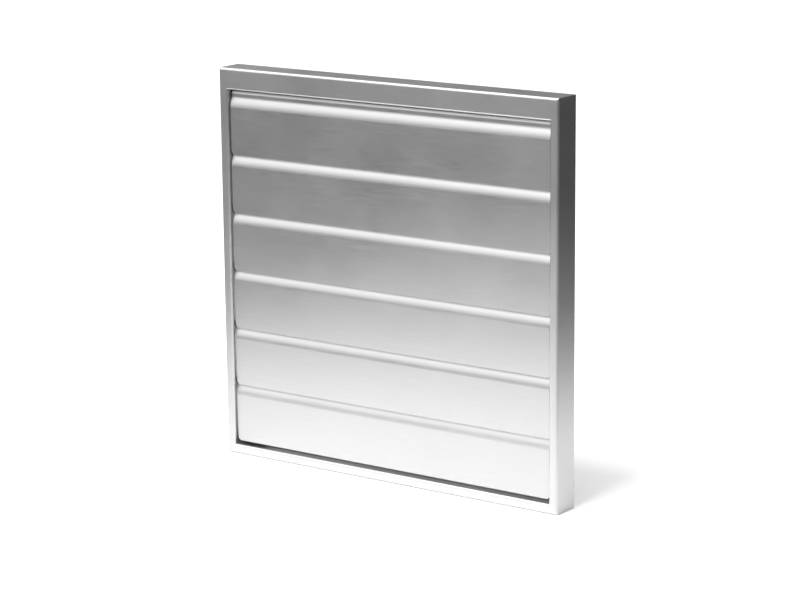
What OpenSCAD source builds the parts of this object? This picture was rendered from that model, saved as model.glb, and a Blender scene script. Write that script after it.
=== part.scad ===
// Self-closing louvre grille for a wall duct: six overlapping flaps hang in a folded
// sheet frame, swing outward in the air stream and fall shut when it stops.
// Millimetres. X runs to the right, Y towards the wall, Z up. The origin is the centre
// of the wall-side face of the frame, so the front face lies at Y = -frame_depth.

/* [Frame] */
// Overall width of the frame
frame_w = 350; // [260:1:450]
// Overall height of the frame
frame_h = 350; // [300:1:400]
// Depth of the frame from the wall to its front face
frame_depth = 28; // [27:0.5:45]
// Thickness of the frame's sheet
frame_t = 1.5; // [1:0.1:1.8]
// Outside radius of the folded edges
bend_r = 2; // [1.9:0.1:3]
// Outside radius of the four welded corners
corner_r = 1; // [0.5:0.1:2]
// Face width of the two side rails
side_rail = 8.5; // [8:0.1:14]
// Face width of the bottom rail
bottom_rail = 8.5; // [6:0.1:14]
// Face width of the top rail, which hides the first flap's knuckle
top_rail = 19; // [15:0.1:26]
// Depth of the returns beside the flaps, which carry the bushes
side_return = 15; // [14:0.5:18]
// Depth of the returns above and below the flaps
sill_return = 9.5; // [6:0.1:13]
// How far the fixing flanges at the wall reach past the side returns
flange_reach = 14.5; // [11:0.5:22]
// Width of the stiffening flanges at the wall, above and below
rail_flange = 10; // [6:0.5:11]

/* [Fixing holes] */
// Diameter of the screw holes in the side flanges
screw_hole_d = 5.2; // [3.5:0.1:6]
// Distance of the holes from the top and bottom of the frame
screw_inset = 40; // [25:1:90]

/* [Flaps] */
// Number of flaps
flap_count = 6; // [5:1:7]
// Thickness of the flap sheet
flap_t = 1.2; // [0.9:0.1:1.3]
// Gap between the end of a flap and the return beside it
flap_end_gap = 1.2; // [1.1:0.1:2]
// Depth from the front face to the pivots
pivot_depth = 8.3; // [7.9:0.1:9.5]
// Outside radius of the rolled knuckle
knuckle_r = 3; // [2.8:0.1:3.4]
// Gap between the first knuckle and the edge of the top rail
knuckle_gap = 1; // [0.6:0.1:2]
// How far a flap hangs down over the next flap's pivot
flap_lap = 2.2; // [1:0.1:3]
// Gap between a flap and the knuckle behind its lower edge
lap_gap = 0.45; // [0.3:0.05:0.8]
// Gap between the last flap and the sill
sill_gap = 3.3; // [2:0.1:6]
// Radius of the crown across the face of a flap
crown_r = 1400; // [900:50:3000]
// Length of the straight neck below the knuckle
neck_len = 2.5; // [1:0.1:4]
// Height of the shoulder, where the sheet steps forward
shoulder_h = 9.5; // [8:0.1:12]
// Radius of the hollow above the shoulder
hollow_r = 5; // [3:0.5:8]
// Radius of the lower corners of a flap
flap_corner_r = 3.5; // [2:0.5:8]
// Angle at which the curl of the knuckle ends, behind the neck
curl_end = -115; // [-120:1:-60]

/* [Axles and bushes] */
// Diameter of the axle rods
axle_d = 3.5; // [3:0.1:3.6]
// Length of the chamfer at the ends of the rods and pins
rod_chamfer = 0.4; // [0.1:0.1:0.8]
// Radial running clearance of the axles and of the first link pin
run_gap = 0.05; // [0.02:0.01:0.1]
// End play of an axle at each side
axle_play = 0.3; // [0.1:0.1:0.6]
// Diameter of the bush barrels
bush_d = 6; // [5.4:0.1:7]
// Radial clearance of the barrels in the frame's holes
bush_fit = 0.05; // [0.02:0.01:0.1]
// Diameter of the bush flanges
bush_flange_d = 7.4; // [7.2:0.1:8.6]
// Thickness of the bush flanges
bush_flange_t = 0.8; // [0.5:0.1:0.9]
// Length of the barrels from the flange
bush_len = 6; // [4:0.1:6.2]
// Thickness of the closed end of a bush
bush_end_t = 0.8; // [0.6:0.1:1.2]
// Height of the snap bead behind the return
snap_bead = 0.3; // [0.1:0.05:0.5]

/* [Flap stops] */
// Reach of the two stop tabs into the opening
tab_reach = 5; // [3:0.5:6]
// Height of the stop tabs
tab_h = 8; // [5:0.5:12]
// Height of the tabs above the lower edge of the last flap
tab_rise = 5; // [4:0.5:12]
// Gap between the closed last flap and the tabs
stop_gap = 0.3; // [0.2:0.05:0.5]

/* [Linkage] */
// Distance of the lever plates from the left side return
lever_inset = 36.5; // [32:0.5:90]
// Thickness of the levers
lever_t = 1.5; // [1:0.1:2]
// Distance of the link pins behind the pivots
lever_back = 13; // [12.5:0.1:13.5]
// Height of the link pins above the pivots
lever_up = 5; // [4.5:0.1:5.5]
// Radius of the lever's end round the link pin
lever_end_r = 3.2; // [3:0.1:3.4]
// Outside radius of the lever's fold
lever_bend_r = 2; // [1:0.1:3]
// Distance from a pivot down to the lever's foot
foot_drop = 14; // [13:0.5:16]
// Height of the lever's foot
foot_h = 14; // [8:0.5:18]
// Width of the lever's foot
foot_w = 12; // [8:0.5:16]
// Radius of the foot's two free corners
foot_corner_r = 2; // [1:0.5:4]
// Gap of the glue film under the lever's foot
glue_gap = 0.05; // [0.02:0.01:0.2]
// Width of the tie bar
bar_w = 7; // [6:0.1:7]
// Thickness of the tie bar
bar_t = 2; // [1.5:0.1:3]
// Gap between the tie bar and the levers
bar_gap = 0.5; // [0.4:0.1:1]
// Radial clearance of the link pins below the first one
link_gap = 0.25; // [0.15:0.05:0.4]
// Diameter of the link pins
pin_d = 3; // [2.5:0.1:3.2]
// Diameter of the pin heads
pin_head_d = 6; // [5:0.1:6.4]
// Thickness of the pin heads
pin_head_t = 1; // [0.6:0.1:1.5]
// Diameter of the collar and the riveted end of a pin
pin_collar_d = 5; // [4.5:0.1:6]
// Thickness of the riveted end
pin_tail_t = 0.7; // [0.5:0.1:1]
// End play of the tie bar between the collars and the riveted ends
bar_play = 0.3; // [0.2:0.05:0.5]

/* [Hidden] */
$fn = 64;

// Extra length of a cut, so that it passes through a face
eps = 0.5;
// Sides of the very large circles that crown the flaps
crown_fn = 2880;

// The window between the returns
window_x = frame_w / 2 - side_rail;
window_top = frame_h / 2 - top_rail;
window_bottom = bottom_rail - frame_h / 2;
// The opening at the wall
wall_x = window_x - flange_reach;
wall_z = frame_h / 2 - rail_flange;

// Pivots and pitch of the flaps
pivot_y = pivot_depth - frame_depth;
first_pivot_z = window_top - knuckle_gap - knuckle_r;
pitch = (first_pivot_z - flap_lap - window_bottom - sill_gap) / flap_count;
flap_drop = pitch + flap_lap;
flap_x = window_x - flap_end_gap;
function pivot_z(i) = first_pivot_z - (i - 1) * pitch;

// Section of a flap in Y and Z, with the pivot at the origin: a knuckle, a neck, a hollow,
// a shoulder that steps forward over the next knuckle, and a crowned face
crown_len = flap_drop - neck_len - shoulder_h;
crown_back = crown_r - sqrt(crown_r * crown_r - crown_len * crown_len);
shoulder_step = lap_gap + flap_t + crown_back;
shoulder_a = 2 * atan(shoulder_step / shoulder_h);
shoulder_r = shoulder_h / sin(shoulder_a) - hollow_r;
hollow_c = [-knuckle_r - hollow_r, -neck_len];
shoulder_c = hollow_c + (hollow_r + shoulder_r) * [cos(shoulder_a), -sin(shoulder_a)];
crown_c = [crown_r - knuckle_r - shoulder_step, -neck_len - shoulder_h];
crown_a = asin(crown_len / crown_r);
// Y of the back of the crowned sheet, measured from the pivot, at a drop below it
function flap_back(drop) =
    crown_c[0] - sqrt(pow(crown_r - flap_t, 2) - pow(drop + crown_c[1], 2));

// Places along the axles and the link pins
axle_hole_r = axle_d / 2 + run_gap;
axle_x = window_x + bush_len - bush_end_t - axle_play;
lever_x = lever_inset - window_x;
bar_x = lever_x + lever_t + bar_gap;
// Front face of the levers' feet and of the stop tabs, measured from the pivots
foot_y = flap_back(foot_drop + foot_h) + glue_gap;
tab_y = flap_back(flap_drop - tab_rise) + stop_gap;

// Extrudes a shape drawn in Y and Z along X, from x0 to x1
module along_x(x0, x1) {
    translate([x0, 0, 0]) rotate([90, 0, 90]) linear_extrude(x1 - x0) children();
}

// Extrudes a shape drawn in X and Z along Y, from y0 to y1
module along_y(y0, y1) {
    translate([0, y1, 0]) rotate([90, 0, 0]) linear_extrude(y1 - y0) children();
}

// Extrudes a shape drawn in X and Y along Z, from z0 to z1
module along_z(z0, z1) {
    translate([0, 0, z0]) linear_extrude(z1 - z0) children();
}

// Turns an outline of [radius, x] points about the X axis
module turned_x(points) {
    rotate([0, 90, 0]) rotate_extrude() polygon(points);
}

// A part ring between two angles
module arc_strip(centre, r_in, r_out, from, to) {
    steps = 6;
    reach = 2 * r_out;
    translate(centre) intersection() {
        difference() {
            circle(r_out);
            circle(r_in);
        }
        polygon(concat([[0, 0]], [for (k = [0 : steps])
            let (a = from + k * (to - from) / steps) reach * [cos(a), sin(a)]]));
    }
}

// What a radius r takes off a square corner that points towards sx, sy
module corner_waste(r, sx, sy) {
    difference() {
        translate([sx > 0 ? 0 : -r - eps, sy > 0 ? 0 : -r - eps]) square(r + eps);
        circle(r);
    }
}

// A rectangle between two corners, with every corner rounded
module rounded_rect(low, high, r) {
    difference() {
        translate(low) square(high - low);
        for (sx = [-1, 1], sy = [-1, 1])
            translate([sx > 0 ? high[0] - r : low[0] + r, sy > 0 ? high[1] - r : low[1] + r])
                corner_waste(r, sx, sy);
    }
}

// A block inset from the frame's outer faces, with its edges along X and Z rounded
module folded_block(inset, r) {
    x = frame_w / 2 - inset;
    z = frame_h / 2 - inset;
    front = inset - frame_depth;
    intersection() {
        along_z(-z, z) rounded_rect([-x, front], [x, -inset], r);
        along_x(-x, x) rounded_rect([front, -z], [-inset, z], r);
    }
}

// The folded box: four outer walls, a front face and the flanges at the wall
module folded_box() {
    x = frame_w / 2;
    z = frame_h / 2;
    difference() {
        intersection() {
            folded_block(0, bend_r);
            along_y(-frame_depth, 0) rounded_rect([-x, -z], [x, z], corner_r);
        }
        folded_block(frame_t, bend_r - frame_t);
        window_cut();
        wall_cut();
    }
}

// Cuts the front face back to where its bends into the returns begin
module window_cut() {
    translate([-window_x - bend_r, -frame_depth - eps, window_bottom - bend_r])
        cube([2 * (window_x + bend_r), frame_t + 2 * eps,
            window_top - window_bottom + 2 * bend_r]);
}

// Cuts the opening at the wall
module wall_cut() {
    translate([-wall_x, -frame_t - eps, -wall_z])
        cube([2 * wall_x, frame_t + 2 * eps, 2 * wall_z]);
}

// A bend and its return: x is the distance out from the window, y the depth
module return_section(depth) {
    arc_strip([bend_r, bend_r], bend_r - frame_t, bend_r, 180, 270);
    translate([0, bend_r]) square([frame_t, depth - bend_r]);
}

// The four returns round the window
module window_returns() {
    span = window_x + bend_r;
    for (side = [0, 1]) mirror([side, 0, 0])
        along_z(window_bottom - bend_r, window_top + bend_r)
            translate([window_x, -frame_depth]) return_section(side_return);
    along_x(-span, span) translate([-frame_depth, window_top])
        mirror([1, -1, 0]) return_section(sill_return);
    along_x(-span, span) translate([-frame_depth, window_bottom])
        rotate(-90) return_section(sill_return);
}

// Place of the right stop tab, at its root, front and foot
module at_stop_tab() {
    translate([window_x, pivot_y + tab_y, pivot_z(flap_count) - flap_drop + tab_rise])
        children();
}

// A tab lanced from the right return and bent in behind the last flap
module stop_tab() {
    at_stop_tab() translate([-tab_reach, 0, 0]) cube([tab_reach + frame_t, frame_t, tab_h]);
}

// The hole that the tab leaves behind it in the return
module stop_tab_hole() {
    at_stop_tab() translate([-eps, frame_t, 0]) cube([frame_t + 2 * eps, tab_reach, tab_h]);
}

module frame() {
    hole_x = (window_x + wall_x) / 2;
    color("gainsboro") difference() {
        union() {
            folded_box();
            window_returns();
            for (side = [0, 1]) mirror([side, 0, 0]) stop_tab();
        }
        for (side = [0, 1]) mirror([side, 0, 0]) {
            stop_tab_hole();
            for (i = [1 : flap_count])
                translate([window_x - eps, pivot_y, pivot_z(i)]) rotate([0, 90, 0])
                    cylinder(r = bush_d / 2 + bush_fit, h = frame_t + 2 * eps);
            for (up = [-1, 1])
                translate([hole_x, eps, up * (frame_h / 2 - screw_inset)]) rotate([90, 0, 0])
                    cylinder(d = screw_hole_d, h = frame_t + 2 * eps);
        }
    }
}

// The rolled sheet of a flap, from the curl of its knuckle to its lower edge
module flap_section() {
    arc_strip([0, 0], knuckle_r - flap_t, knuckle_r, curl_end, 180);
    translate([-knuckle_r, -neck_len]) square([flap_t, neck_len]);
    arc_strip(hollow_c, hollow_r, hollow_r + flap_t, -shoulder_a, 0);
    arc_strip(shoulder_c, shoulder_r - flap_t, shoulder_r, 180 - shoulder_a, 180);
    arc_strip(crown_c, crown_r - flap_t, crown_r, 180, 180 + crown_a, $fn = crown_fn);
}

module flap(i) {
    color("silver") translate([0, pivot_y, pivot_z(i)]) difference() {
        along_x(-flap_x, flap_x) flap_section();
        along_y(-2 * knuckle_r - shoulder_step, 2 * knuckle_r)
            for (side = [-1, 1])
                translate([side * (flap_x - flap_corner_r), flap_corner_r - flap_drop])
                    corner_waste(flap_corner_r, side, -1);
    }
}

module axle(i) {
    r = axle_d / 2;
    c = rod_chamfer;
    color("dimgray") translate([0, pivot_y, pivot_z(i)])
        turned_x([[0, -axle_x], [r - c, -axle_x], [r, c - axle_x],
            [r, axle_x - c], [r - c, axle_x], [0, axle_x]]);
}

// A closed snap-in bush, here for the right side: x starts at the return's inner face
module bush(i) {
    r = bush_d / 2;
    bead_x = frame_t + bush_fit;
    color("black") translate([window_x, pivot_y, pivot_z(i)])
        turned_x([[axle_hole_r, -bush_flange_t], [bush_flange_d / 2, -bush_flange_t],
            [bush_flange_d / 2, 0], [r, 0], [r, bead_x], [r + snap_bead, bead_x + snap_bead],
            [r, bead_x + 4 * snap_bead], [r, bush_len - rod_chamfer],
            [r - rod_chamfer, bush_len], [0, bush_len],
            [0, bush_len - bush_end_t], [axle_hole_r, bush_len - bush_end_t]]);
}

// Where the straight line from point p touches a circle, on the side that turn gives
function touch_point(p, c, r, turn) =
    let (d = c - p, aim = atan2(d[1], d[0]), a = turn * acos(r / norm(d)))
    c - r * [cos(aim + a), sin(aim + a)];

// The lever's plate in Y and Z: from the foot it reaches round behind the knuckle
module lever_plate() {
    pin = [lever_back, lever_up];
    top = [foot_y, -foot_drop];
    toe = [foot_y, -foot_drop - foot_h];
    difference() {
        union() {
            polygon([top, touch_point(top, pin, lever_end_r, -1), pin,
                touch_point(toe, pin, lever_end_r, 1), toe]);
            translate(pin) circle(lever_end_r);
        }
        translate(pin) circle(pin_d / 2 + run_gap);
    }
}

// The lever's foot in X and Z, with its two free corners rounded
module lever_foot() {
    left = lever_x + lever_t - foot_w;
    difference() {
        translate([left, -foot_drop - foot_h]) square([foot_w, foot_h]);
        for (up = [-1, 1])
            translate([left + foot_corner_r,
                up * (foot_h / 2 - foot_corner_r) - foot_drop - foot_h / 2])
                corner_waste(foot_corner_r, -1, up);
    }
}

module lever(i) {
    color("lightgray") translate([0, pivot_y, pivot_z(i)]) difference() {
        union() {
            along_x(lever_x, lever_x + lever_t) lever_plate();
            along_y(foot_y, foot_y + lever_t) lever_foot();
        }
        along_z(-foot_drop - foot_h - eps, eps - foot_drop)
            translate([lever_x + lever_t - lever_bend_r, foot_y + lever_bend_r])
                corner_waste(lever_bend_r, 1, -1);
    }
}

// A pin with a head, a collar that keeps the tie bar off the lever, and a riveted end
module link_pin(i) {
    r = pin_d / 2;
    collar = pin_collar_d / 2;
    lever_end = lever_x + lever_t;
    bar_end = bar_x + bar_t;
    tail = bar_end + bar_play / 2;
    color("gray") translate([0, pivot_y + lever_back, pivot_z(i) + lever_up])
        turned_x([[0, lever_x - pin_head_t], [pin_head_d / 2 - rod_chamfer, lever_x - pin_head_t],
            [pin_head_d / 2, lever_x - pin_head_t + rod_chamfer], [pin_head_d / 2, lever_x],
            [r, lever_x], [r, lever_end], [collar, lever_end],
            [collar, bar_x - bar_play / 2], [r, bar_x - bar_play / 2], [r, tail],
            [collar, tail], [collar - rod_chamfer, tail + pin_tail_t], [0, tail + pin_tail_t]]);
}

module tie_bar() {
    pin_y = pivot_y + lever_back;
    low = pivot_z(flap_count) + lever_up;
    high = pivot_z(1) + lever_up;
    color("silver") along_x(bar_x, bar_x + bar_t) difference() {
        union() {
            translate([pin_y - bar_w / 2, low]) square([bar_w, high - low]);
            translate([pin_y, low]) circle(d = bar_w);
            translate([pin_y, high]) circle(d = bar_w);
        }
        translate([pin_y, high]) circle(pin_d / 2 + run_gap);
        for (i = [2 : flap_count])
            translate([pin_y, pivot_z(i) + lever_up]) circle(pin_d / 2 + link_gap);
    }
}

frame();
tie_bar();
for (i = [1 : flap_count]) {
    flap(i);
    axle(i);
    mirror([1, 0, 0]) bush(i);
    bush(i);
    lever(i);
    link_pin(i);
}
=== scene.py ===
"""Looks for the louvre grille: camera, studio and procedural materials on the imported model.

Metres. X runs to the right, Y towards the wall, Z up. The grille stands on its lower edge.
"""

import math

import bpy
from mathutils import Matrix, Vector


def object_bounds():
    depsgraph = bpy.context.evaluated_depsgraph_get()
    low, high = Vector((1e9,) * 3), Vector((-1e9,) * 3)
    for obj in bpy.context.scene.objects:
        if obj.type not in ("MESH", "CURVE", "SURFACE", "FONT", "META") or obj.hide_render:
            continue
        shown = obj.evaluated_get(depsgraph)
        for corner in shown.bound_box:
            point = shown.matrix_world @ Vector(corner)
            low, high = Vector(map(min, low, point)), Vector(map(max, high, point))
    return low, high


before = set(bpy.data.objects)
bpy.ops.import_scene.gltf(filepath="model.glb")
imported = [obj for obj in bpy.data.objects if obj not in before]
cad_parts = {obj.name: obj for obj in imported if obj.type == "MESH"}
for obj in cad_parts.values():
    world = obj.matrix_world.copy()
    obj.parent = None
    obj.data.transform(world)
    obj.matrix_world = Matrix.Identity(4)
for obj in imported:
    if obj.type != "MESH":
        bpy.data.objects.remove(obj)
CAD_LOW, CAD_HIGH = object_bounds()
CENTRE = (CAD_LOW + CAD_HIGH) / 2
WIDTH = CAD_HIGH.x - CAD_LOW.x
FLOOR_Z = CAD_LOW.z

# Camera
CAM_AZIMUTH = 35.3
CAM_ELEVATION = 12.9
CAM_ROLL = -0.54
CAM_DISTANCE = 6.524 * WIDTH
CAM_LENS = 119.2
CAM_AIM_RIGHT = -0.0055 * WIDTH
CAM_AIM_UP = -0.0498 * WIDTH

# Studio
FLOOR_SIZE = 30.0
FLOOR_WHITE = 0.8
# The next three values paint light on the floor: its colour falls from white near the grille to dark
# far away, a painted pool of light fading into painted shade.
FLOOR_PAINTED_SHADE = 0.05
PAINTED_POOL_RADIUS = 0.28
PAINTED_POOL_FADE_END = 0.9
KEY_ELEVATION = 66.0
KEY_AZIMUTH = -6.0
KEY_DISTANCE = 2.6
KEY_SIZE = 0.9
KEY_POWER = 70.0


def direction(azimuth, elevation):
    """Unit vector from the grille towards an azimuth (0 is the front) and an elevation."""
    a, e = math.radians(azimuth), math.radians(elevation)
    return Vector((math.sin(a) * math.cos(e), -math.cos(a) * math.cos(e), math.sin(e)))


class Nodes:
    """A short way to write a node tree: add() makes a node and links or sets its inputs."""

    def __init__(self, tree):
        self.tree = tree
        tree.nodes.clear()

    def add(self, kind, inputs=None, **settings):
        node = self.tree.nodes.new(kind)
        for name, value in settings.items():
            setattr(node, name, value)
        for key, value in (inputs or {}).items():
            socket = node.inputs[key]
            if isinstance(value, bpy.types.NodeSocket):
                self.tree.links.new(value, socket)
            else:
                socket.default_value = value
        return node

    def math(self, operation, a, b=0.0, clamp=False):
        node = self.add("ShaderNodeMath", {0: a, 1: b}, operation=operation, use_clamp=clamp)
        return node.outputs[0]

    def ramp(self, value, low, high, to_low=0.0, to_high=1.0, smooth=True):
        node = self.add(
            "ShaderNodeMapRange",
            {"Value": value, "From Min": low, "From Max": high, "To Min": to_low, "To Max": to_high},
            interpolation_type="SMOOTHSTEP" if smooth else "LINEAR",
        )
        return node.outputs[0]


def make_world():
    """A soft studio: pale above and at the front left, dark behind."""
    world = bpy.data.worlds.new("studio")
    bpy.context.scene.world = world
    world.use_nodes = True
    n = Nodes(world.node_tree)
    ray = n.add("ShaderNodeTexCoord").outputs["Generated"]

    def blob(azimuth, elevation, reach, edge):
        """1 inside reach degrees of a direction, falling to 0 over edge degrees."""
        dot = n.add(
            "ShaderNodeVectorMath",
            {0: ray, 1: direction(azimuth, elevation)},
            operation="DOT_PRODUCT",
        ).outputs["Value"]
        return n.ramp(dot, math.cos(math.radians(reach + edge)), math.cos(math.radians(reach)))

    level = n.math("ADD", 0.06, n.math("MULTIPLY", blob(-65, 25, 30, 50), 1.1))
    level = n.math("ADD", level, n.math("MULTIPLY", blob(0, 75, 20, 50), 0.8))
    level = n.math("ADD", level, n.math("MULTIPLY", blob(60, 20, 15, 45), 0.35))
    camera_ray = n.add("ShaderNodeLightPath").outputs["Is Camera Ray"]
    level = n.math("MAXIMUM", level, camera_ray)
    background = n.add("ShaderNodeBackground", {"Color": (1, 1, 1, 1), "Strength": level})
    n.add("ShaderNodeOutputWorld", {"Surface": background.outputs[0]})


def make_floor():
    """A white floor painted darker with distance from the grille, a painted pool of light fading
    into painted shade, and pure white to the camera.
    """
    bpy.ops.mesh.primitive_plane_add(size=FLOOR_SIZE, location=(CENTRE.x, CENTRE.y, FLOOR_Z))
    floor = bpy.context.object
    floor.name = "floor"
    material = bpy.data.materials.new("floor")
    material.use_nodes = True
    floor.data.materials.append(material)
    n = Nodes(material.node_tree)
    place = n.add("ShaderNodeTexCoord").outputs["Object"]
    radius = n.add("ShaderNodeVectorMath", {0: place}, operation="LENGTH").outputs["Value"]
    # Painted light: the floor's colour falls from white to dark with distance, a pool of light that
    # fades into painted shade.
    tone = n.ramp(radius, PAINTED_POOL_RADIUS, PAINTED_POOL_FADE_END, FLOOR_WHITE, FLOOR_PAINTED_SHADE)
    camera_ray = n.add("ShaderNodeLightPath").outputs["Is Camera Ray"]
    tone = n.math("MAXIMUM", tone, n.math("MULTIPLY", camera_ray, FLOOR_WHITE))
    diffuse = n.add("ShaderNodeBsdfDiffuse", {"Color": tone})
    glow = n.add("ShaderNodeEmission", {"Strength": n.math("MULTIPLY", camera_ray, 0.25)})
    both = n.add("ShaderNodeAddShader", {0: diffuse.outputs[0], 1: glow.outputs[0]})
    n.add("ShaderNodeOutputMaterial", {"Surface": both.outputs[0]})


def make_lamp():
    """The key light, high in front, which throws the short shadow behind."""
    data = bpy.data.lights.new("key", "AREA")
    data.shape = "SQUARE"
    data.size = KEY_SIZE
    data.energy = KEY_POWER
    lamp = bpy.data.objects.new("key", data)
    towards = direction(KEY_AZIMUTH, KEY_ELEVATION)
    lamp.location = CENTRE + towards * KEY_DISTANCE
    lamp.rotation_mode = "QUATERNION"
    lamp.rotation_quaternion = towards.to_track_quat("Z", "Y")
    bpy.context.collection.objects.link(lamp)


def make_camera():
    """The camera at the photograph's angle."""
    back = direction(CAM_AZIMUTH, CAM_ELEVATION)
    right = (-back).cross(Vector((0, 0, 1))).normalized()
    up = right.cross(-back)
    roll = math.radians(CAM_ROLL)
    rolled_right = math.cos(roll) * right + math.sin(roll) * up
    rolled_up = math.cos(roll) * up - math.sin(roll) * right
    data = bpy.data.cameras.new("camera")
    data.lens = CAM_LENS
    data.sensor_width = 36.0
    camera = bpy.data.objects.new("camera", data)
    aim = rolled_right * CAM_AIM_RIGHT + rolled_up * CAM_AIM_UP
    place = aim + back * CAM_DISTANCE
    turn = Matrix((rolled_right, rolled_up, back)).transposed()
    camera.matrix_world = Matrix.Translation(place) @ turn.to_4x4()
    bpy.context.collection.objects.link(camera)
    bpy.context.scene.camera = camera


def satin_metal(name, tone, roughness, grain=0.02, edge=0.0004):
    """Rolled or anodised sheet: a fine grain along X, soft patches and broken edges."""
    material = bpy.data.materials.new(name)
    material.use_nodes = True
    n = Nodes(material.node_tree)
    place = n.add("ShaderNodeTexCoord").outputs["Object"]
    along = n.add("ShaderNodeMapping", {"Vector": place, "Scale": (60, 2500, 2500)})
    fine = n.add(
        "ShaderNodeTexNoise", {"Vector": along.outputs[0], "Scale": 1.0, "Detail": 2.0}
    ).outputs["Fac"]
    patches = n.add(
        "ShaderNodeTexNoise", {"Vector": place, "Scale": 14.0, "Detail": 3.0}
    ).outputs["Fac"]
    shade = n.math("ADD", n.ramp(fine, 0.3, 0.7, tone - grain, tone + grain, smooth=False),
                   n.ramp(patches, 0.3, 0.7, -0.01, 0.01, smooth=False))
    colour = n.add("ShaderNodeCombineColor", {0: shade, 1: shade, 2: shade})
    rough = n.math("ADD", n.ramp(fine, 0.3, 0.7, roughness - 0.03, roughness + 0.03, smooth=False),
                   n.ramp(patches, 0.3, 0.7, -0.02, 0.02, smooth=False))
    broken = n.add("ShaderNodeBevel", {"Radius": edge}, samples=4)
    bump = n.add(
        "ShaderNodeBump",
        {"Height": fine, "Strength": 0.15, "Distance": 0.00002, "Normal": broken.outputs[0]},
    )
    shader = n.add(
        "ShaderNodeBsdfPrincipled",
        {
            "Base Color": colour.outputs[0],
            "Metallic": 1.0,
            "Roughness": rough,
            "Normal": bump.outputs[0],
        },
    )
    n.add("ShaderNodeOutputMaterial", {"Surface": shader.outputs[0]})
    return material


def moulded_plastic(name, tone, roughness):
    """Dark moulded plastic with a fine eggshell."""
    material = bpy.data.materials.new(name)
    material.use_nodes = True
    n = Nodes(material.node_tree)
    place = n.add("ShaderNodeTexCoord").outputs["Object"]
    grain = n.add(
        "ShaderNodeTexNoise", {"Vector": place, "Scale": 1500.0, "Detail": 2.0}
    ).outputs["Fac"]
    shade = n.ramp(grain, 0.3, 0.7, tone * 0.85, tone * 1.15, smooth=False)
    colour = n.add("ShaderNodeCombineColor", {0: shade, 1: shade, 2: shade})
    rough = n.ramp(grain, 0.3, 0.7, roughness - 0.05, roughness + 0.05, smooth=False)
    bump = n.add("ShaderNodeBump", {"Height": grain, "Strength": 0.2, "Distance": 0.00003})
    shader = n.add(
        "ShaderNodeBsdfPrincipled",
        {"Base Color": colour.outputs[0], "Roughness": rough, "Normal": bump.outputs[0]},
    )
    n.add("ShaderNodeOutputMaterial", {"Surface": shader.outputs[0]})
    return material


def dress():
    """Gives each CAD node the finished material of its kind."""
    finishes = {
        "frame": satin_metal("frame_satin", 0.66, 0.36),
        # Painted shade: the flaps take the frame's metal at a darker tone, standing in for the
        # darker light they reflect.
        "flap": satin_metal("flap_satin_painted_shade", 0.62, 0.36),
        "lever": satin_metal("mill_finish", 0.5, 0.42),
        "axle": satin_metal("drawn_steel", 0.42, 0.3),
        "bush": moulded_plastic("black_plastic", 0.03, 0.5),
    }
    finishes["tie"] = finishes["lever"]
    finishes["link"] = finishes["axle"]
    for name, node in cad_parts.items():
        for slot in node.material_slots:
            slot.material = finishes[name.split("_")[0]]


make_camera()
make_world()
make_floor()
make_lamp()
dress()

view = bpy.context.scene.view_settings
view.view_transform = "Standard"
